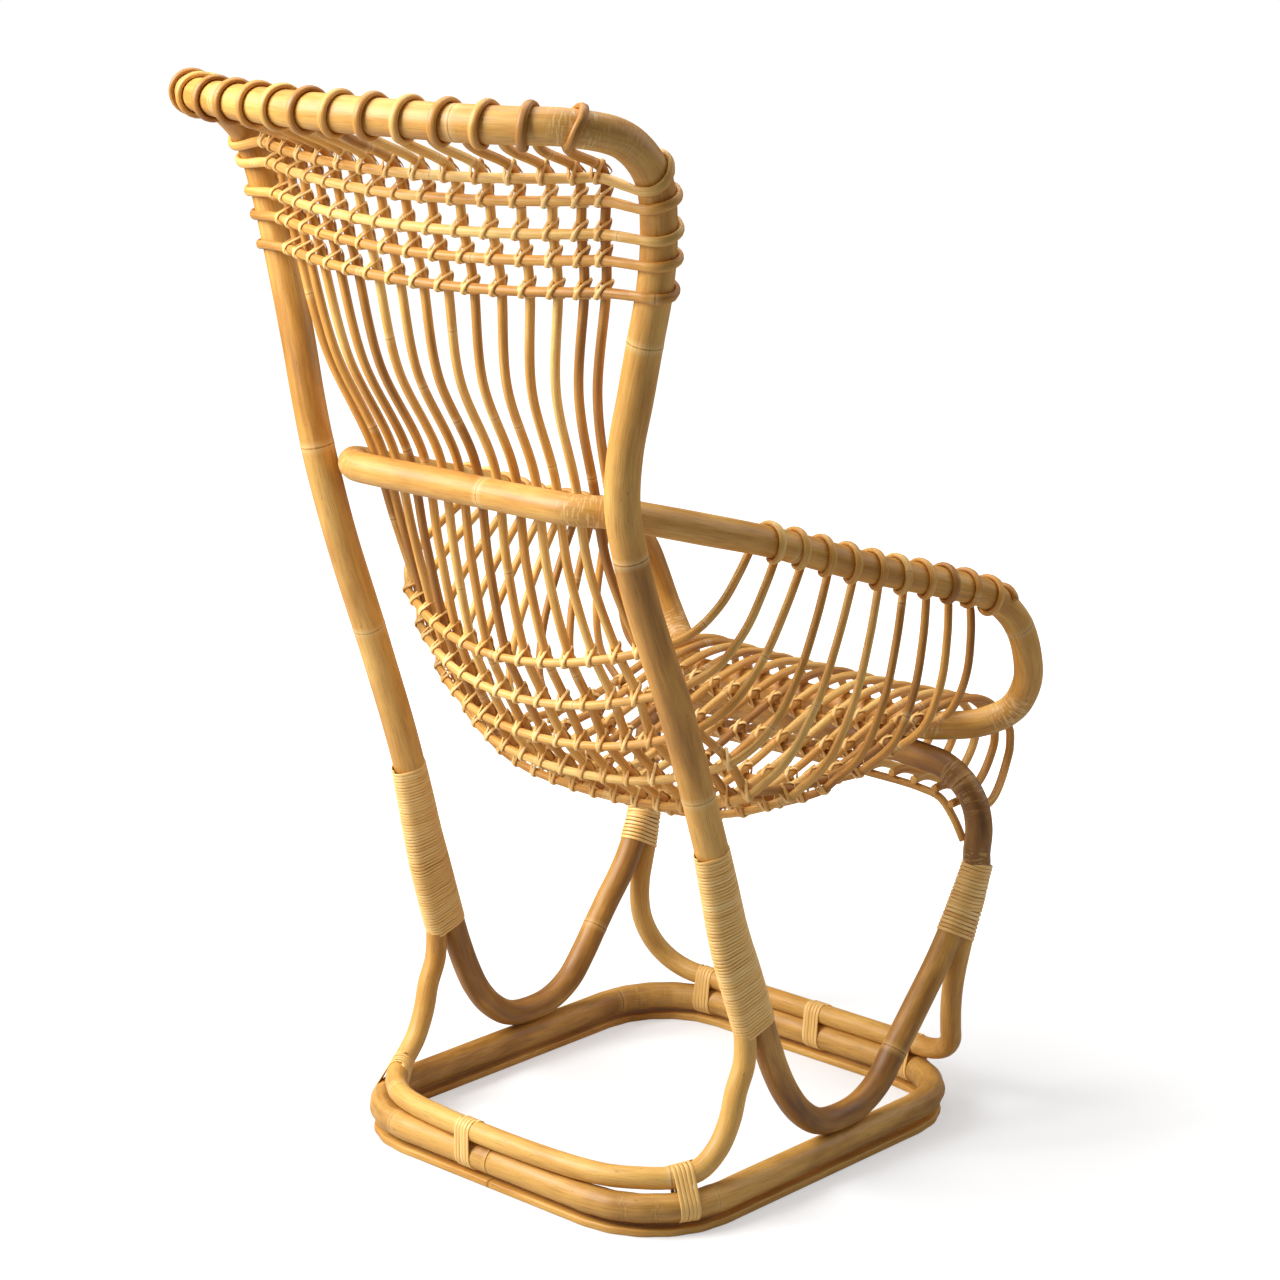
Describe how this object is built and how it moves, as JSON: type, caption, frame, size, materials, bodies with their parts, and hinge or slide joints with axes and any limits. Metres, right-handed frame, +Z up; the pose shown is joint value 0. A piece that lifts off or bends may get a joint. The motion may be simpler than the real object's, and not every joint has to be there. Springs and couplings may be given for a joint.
{
  "type": "rattan high-back lounge chair",
  "caption": "Lounge chair with a bent-pole frame, a basket seat and high back of lengthwise canes, cane spindles under looped arms, and wrapped legs on a ring base.",
  "frame": {"origin": "on the floor, below the middle of the whole chair's box", "axes": "+Z up; the sitter faces -Y; +X is the sitter's left hand; +Y is the back"},
  "size_m": [0.6056, 0.8394, 1.1498],
  "materials": {
    "rattan_pole": "peeled rattan pole, smoothed, thin satin lacquer",
    "dark_rattan_pole": "darker peeled rattan pole, thin satin lacquer",
    "rattan_cane": "thin peeled rattan cane, satin",
    "rattan_peel": "flat split peel of rattan, pale, slightly glossy"
  },
  "bodies": {
    "root": {"base_ring": "dark_rattan_pole", "ring_skid": "rattan_pole", "back_hoop": "rattan_pole", "arm_rail": "rattan_pole", "seat_front_rail": "rattan_pole", "side_pole_left": "dark_rattan_pole", "side_pole_right": "dark_rattan_pole", "front_arch": "dark_rattan_pole", "strip_rail": "rattan_pole", "back_stretcher": "rattan_pole", "front_stretcher": "rattan_pole", "leg_wrap_back_left": "rattan_peel", "leg_wrap_back_right": "rattan_peel", "leg_wrap_front_left": "rattan_peel", "leg_wrap_front_right": "rattan_peel", "base_binding_back_left": "rattan_peel", "base_binding_back_middle": "rattan_peel", "base_binding_back_right": "rattan_peel", "base_binding_front_left": "rattan_peel", "base_binding_front_middle": "rattan_peel", "base_binding_front_right": "rattan_peel", "warp_cane_01": "rattan_cane", "warp_cane_02": "rattan_cane", "warp_cane_03": "rattan_cane", "warp_cane_04": "rattan_cane", "warp_cane_05": "rattan_cane", "warp_cane_06": "rattan_cane", "warp_cane_07": "rattan_cane", "warp_cane_08": "rattan_cane", "warp_cane_09": "rattan_cane", "warp_cane_10": "rattan_cane", "warp_cane_11": "rattan_cane", "warp_cane_12": "rattan_cane", "warp_cane_13": "rattan_cane", "warp_cane_14": "rattan_cane", "warp_cane_15": "rattan_cane", "cross_cane_01": "rattan_cane", "cross_cane_02": "rattan_cane", "cross_cane_03": "rattan_cane", "cross_cane_04": "rattan_cane", "cross_cane_05": "rattan_cane", "cross_cane_06": "rattan_cane", "cross_cane_07": "rattan_cane", "cross_cane_08": "rattan_cane", "cross_cane_09": "rattan_cane", "cross_cane_10": "rattan_cane", "head_cane_01": "rattan_cane", "head_cane_02": "rattan_cane", "head_cane_03": "rattan_cane", "head_cane_04": "rattan_cane", "head_cane_05": "rattan_cane"}
  },
  "joints": []
}
